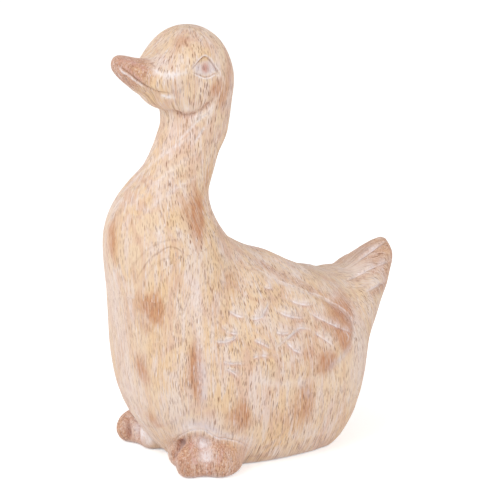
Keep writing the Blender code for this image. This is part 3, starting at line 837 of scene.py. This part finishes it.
def stroke_samples(tree, stroke):
    """Points on the skin along a stroke's lines, each with the line's direction and its strength there."""
    samples = []
    for line in stroke.lines:
        places = [seen_from_camera(tree, pixel) for pixel in curve_pixels(line)]
        places = [place for place in places if place is not None]
        for index in range(1, len(places) - 1):
            way = (places[index + 1] - places[index - 1]).normalized()
            fade = min(1.0, END_FADE * index / len(places), END_FADE * (len(places) - index) / len(places))
            fade *= min(1.0, EVEN_SHARE + UNEVENNESS * waves.noise(places[index] / UNEVEN_LENGTH))
            samples.append((places[index], way, fade))
    return samples


def solid_skin(node):
    """The solid's surface in even quads."""
    copy = bpy.data.objects.new("skin_source", node.data.copy())
    bpy.context.scene.collection.objects.link(copy)
    weld = copy.modifiers.new("weld", "WELD")
    weld.merge_threshold = WELD_GAP
    quads = copy.modifiers.new("quads", "REMESH")
    quads.mode = "VOXEL"
    quads.voxel_size = SKIN_QUAD
    graph = bpy.context.evaluated_depsgraph_get()
    mesh = bpy.data.meshes.new_from_object(copy.evaluated_get(graph))
    bpy.data.objects.remove(copy)
    return mesh


def points_of(mesh):
    points = np.empty(len(mesh.vertices) * 3)
    mesh.vertices.foreach_get("co", points)
    return points.reshape(-1, 3)


def set_points(mesh, points):
    mesh.vertices.foreach_set("co", points.ravel())
    mesh.update()


def normals_of(mesh):
    normals = np.empty(len(mesh.vertices) * 3)
    mesh.vertex_normals.foreach_get("vector", normals)
    return normals.reshape(-1, 3)


def edges_of(mesh):
    edges = np.empty(len(mesh.edges) * 2, dtype=np.int64)
    mesh.edges.foreach_get("vertices", edges)
    return edges.reshape(-1, 2)


def smooth(points, edges, rounds, share):
    """Evens the points out without shrinking the form: a push in, then a push out."""
    count = np.bincount(edges.ravel(), minlength=len(points))[:, None]
    for _ in range(rounds):
        for push in (PUSH_IN, PUSH_OUT):
            total = np.empty_like(points)
            for axis in range(3):
                first = np.bincount(edges[:, 0], points[edges[:, 1], axis], len(points))
                second = np.bincount(edges[:, 1], points[edges[:, 0], axis], len(points))
                total[:, axis] = first + second
            points = points + push * share[:, None] * (total / count - points)
    return points


def settle_saddle(points):
    """Fills the corner between the back and the tail and lowers the tail's root behind it."""
    for setback, height, rise, reach in SADDLE:
        distance = np.hypot(points[:, 1] - setback, points[:, 2] - height) / reach
        points[:, 2] += rise * np.exp(-distance ** 2)


def on_one_side(points):
    """The points with both sides of the statue laid over each other."""
    return np.column_stack((np.abs(points[:, 0]), points[:, 1], points[:, 2]))


def share_of_reach(points, middle, reach):
    """How far the points lie from a place on either side of the statue, with its ellipsoid's surface at 1."""
    return np.linalg.norm((on_one_side(points) - np.array(middle)) / np.array(reach), axis=1)


def within(points, middle, reach):
    """1 inside an ellipsoid on either side of the statue, fading to 0 at its surface."""
    return np.clip(REGION_EDGE * (1 - share_of_reach(points, middle, reach)), 0, 1)


def refine(mesh, level, samples):
    """Halves the skin's edges near the strokes that ask for this level of detail, on both sides."""
    places = [place for stroke, found in zip(STROKES, samples) if stroke.fine > level for place, *_ in found]
    near = KDTree(len(places))
    for index, place in enumerate(places):
        near.insert((abs(place.x), place.y, place.z), index)
    near.balance()
    work = bmesh.new()
    work.from_mesh(mesh)
    for vertex in work.verts:
        folded = (abs(vertex.co.x), vertex.co.y, vertex.co.z)
        vertex.tag = near.find(folded)[2] < FINE_REACH[level]
    edges = [edge for edge in work.edges if edge.verts[0].tag and edge.verts[1].tag]
    bmesh.ops.subdivide_edges(work, edges=edges, cuts=1, use_grid_fill=True)
    work.to_mesh(mesh)
    work.free()


def link_mesh(name, work):
    mesh = bpy.data.meshes.new(name)
    work.to_mesh(mesh)
    work.free()
    item = bpy.data.objects.new(name, mesh)
    bpy.context.scene.collection.objects.link(item)
    return item


def add_stroke(stroke, samples, points, normals, relief, masks):
    """Adds one stroke to the relief and to the painted masks, on both sides of the statue."""
    near = KDTree(len(samples))
    for index, sample in enumerate(samples):
        near.insert(sample[0], index)
    near.balance()
    limit = STROKE_LIMIT * stroke.half + stroke.reach
    places = np.array([sample[0] for sample in samples])
    low, high = places.min(axis=0) - limit, places.max(axis=0) + limit
    for flip in (1, -1):
        seen = points * (flip, 1, 1)
        inside = np.nonzero(np.all((seen > low) & (seen < high), axis=1))[0]
        for vertex in inside:
            place = Vector(seen[vertex])
            spot, index, distance = near.find(place)
            if distance > limit or (flip < 0 and spot.x < MIDLINE):
                continue
            _, way, fade = samples[index]
            normal = Vector(normals[vertex] * (flip, 1, 1))
            across = (place - spot).dot(normal.cross(way))
            relief[vertex] -= fade * stroke.depth * math.exp(-(distance / stroke.half) ** 2)
            if across > 0 and stroke.reach:
                rise = fade * stroke.proud * min(across / stroke.half, 1.0)
                relief[vertex] += rise * math.exp(-(across / stroke.reach) ** 2)
            aside = distance - stroke.offset if across > 0 else distance + stroke.offset
            shade = fade * math.exp(-(aside / stroke.half) ** 2)
            for name, strength in stroke.colours.items():
                masks[name][vertex] = max(masks[name][vertex], strength * shade)
            if across > 0 and stroke.smear:
                left = stroke.smear * fade * math.exp(-distance / (stroke.reach / 2))
                masks["chalk"][vertex] = max(masks["chalk"][vertex], left)


def add_eye(tree, points, relief, masks):
    """The raised ball of the eye and the colours between its lids."""
    middle = np.array(seen_from_camera(tree, PUPIL))
    opening = np.array(seen_from_camera(tree, EYE_OPENING))
    folded = on_one_side(points)
    distance = np.linalg.norm(folded - middle, axis=1)
    ball = np.exp(-(distance / PUPIL_REACH) ** 4)
    ring = np.exp(-((distance - PUPIL_RING_PLACE * PUPIL_REACH) / (PUPIL_RING_WIDTH * PUPIL_REACH)) ** 2)
    relief += PUPIL_RISE * ball - PUPIL_RING * ring
    offset = folded - opening
    long, high = EYE_OPENING_REACH
    white = np.exp(-((offset[:, 0] ** 2 + offset[:, 1] ** 2) / long ** 2 + (offset[:, 2] / high) ** 2) ** 2)
    masks["chalk"] = np.maximum(masks["chalk"], EYE_BALL_CHALK * white) * (1 - ball)
    masks["wash"] = np.maximum(masks["wash"], white * (1 - ball))
    masks["lilac"] = np.maximum(masks["lilac"], EYE_BALL_LILAC * white * (1 - ball))
    masks["rose"] = np.maximum(masks["rose"], PUPIL_ROSE * ball)
    masks["brown"] = np.maximum(masks["brown"], PUPIL_BROWN * ball)


def add_places(points, masks):
    """The brown bill, tail and feet, and the pale rim of the base."""
    for middle, reach, strength in BROWN_PLACES:
        level = PLACE_EDGE * (1 - share_of_reach(points, middle, reach)) + PLACE_LEVEL
        masks["brown"] = np.maximum(masks["brown"], strength * np.clip(level, 0, 1))
    rim = RIM_WASH * np.exp(-(points[:, 2] / RIM_HEIGHT) ** 2)
    masks["chalk"] = np.maximum(masks["chalk"], rim)


def patches(points, tree, places):
    """How strong the soft patches at these places are, on both sides of the statue."""
    total = np.zeros(len(points))
    for pixel, across, along, strength, right_share in places:
        middle = np.array(seen_from_camera(tree, pixel))
        for side, shift in ((1, (0, 0, 0)), (-1, FAR_SIDE_SHIFT)):
            offset = points * (side, 1, 1) - middle - np.array(shift)
            sideways = offset @ np.array(RIGHT)
            inward = offset @ np.array(BACK)
            sideways = np.where(sideways > 0, sideways / right_share, sideways)
            distance = (sideways ** 2 + inward ** 2) / across ** 2 + offset[:, 2] ** 2 / along ** 2
            total = np.maximum(total, strength * np.exp(-distance ** PATCH_EDGE))
    return total


def paint(mesh, name, values):
    """Keeps a mask on the skin's points, where the material reads it."""
    mask = mesh.attributes.new(name, "FLOAT", "POINT")
    mask.data.foreach_set("value", np.clip(values, 0, 1).astype(np.float32))


def main():
    mesh = solid_skin(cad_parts["duck_statue"])
    points, edges = points_of(mesh), edges_of(mesh)
    points = smooth(points, edges, SMOOTH_EVERYWHERE, np.ones(len(points)))
    head = within(points, HEAD_CENTRE, (HEAD_REACH,) * 3)
    carved = np.maximum(head, within(points, WING_MIDDLE, WING_REACH))
    points = smooth(points, edges, SMOOTH_CARVED, carved)
    faces = [list(face.vertices) for face in mesh.polygons]
    settle_saddle(points)
    set_points(mesh, points)
    tree = BVHTree.FromPolygons(points.tolist(), faces)
    samples = [stroke_samples(tree, stroke) for stroke in STROKES]
    for level in range(len(FINE_REACH)):
        refine(mesh, level, samples)
        points = smooth(points_of(mesh), edges_of(mesh), SMOOTH_REFINED, np.ones(len(mesh.vertices)))
        set_points(mesh, points)
    normals = normals_of(mesh)
    relief = np.zeros(len(points))
    masks = {name: np.zeros(len(points)) for name in ("chalk", "brown", "rose", "dark", "lilac")}
    for stroke, found in zip(STROKES, samples):
        add_stroke(stroke, found, points, normals, relief, masks)
    # Stains, with brown painted shade in the crease, along the wing's rim and at the nape
    masks["stain_and_shade"] = patches(points, tree, STAINS_AND_SHADES)
    masks["wash"] = patches(points, tree, WASHES)
    add_eye(tree, points, relief, masks)
    add_places(points, masks)
    for name, values in masks.items():
        paint(mesh, name, values)
    set_points(mesh, points + normals * relief[:, None])
    mesh.materials.clear()
    mesh.materials.append(whitewashed_wood())
    mesh.shade_smooth()
    statue = bpy.data.objects.new("carved_duck", mesh)
    bpy.context.scene.collection.objects.link(statue)
    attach(statue, "root")
    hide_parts("duck_statue")


add_camera()
add_world()
add_floor()
add_light("key_light", KEY_PLACE, KEY_SIZE, KEY_POWER)
add_light("fill_light", FILL_PLACE, FILL_SIZE, FILL_POWER)
add_light("left_light", LEFT_PLACE, LEFT_SIZE, LEFT_POWER)
bpy.context.scene.view_settings.view_transform = "Standard"
main()
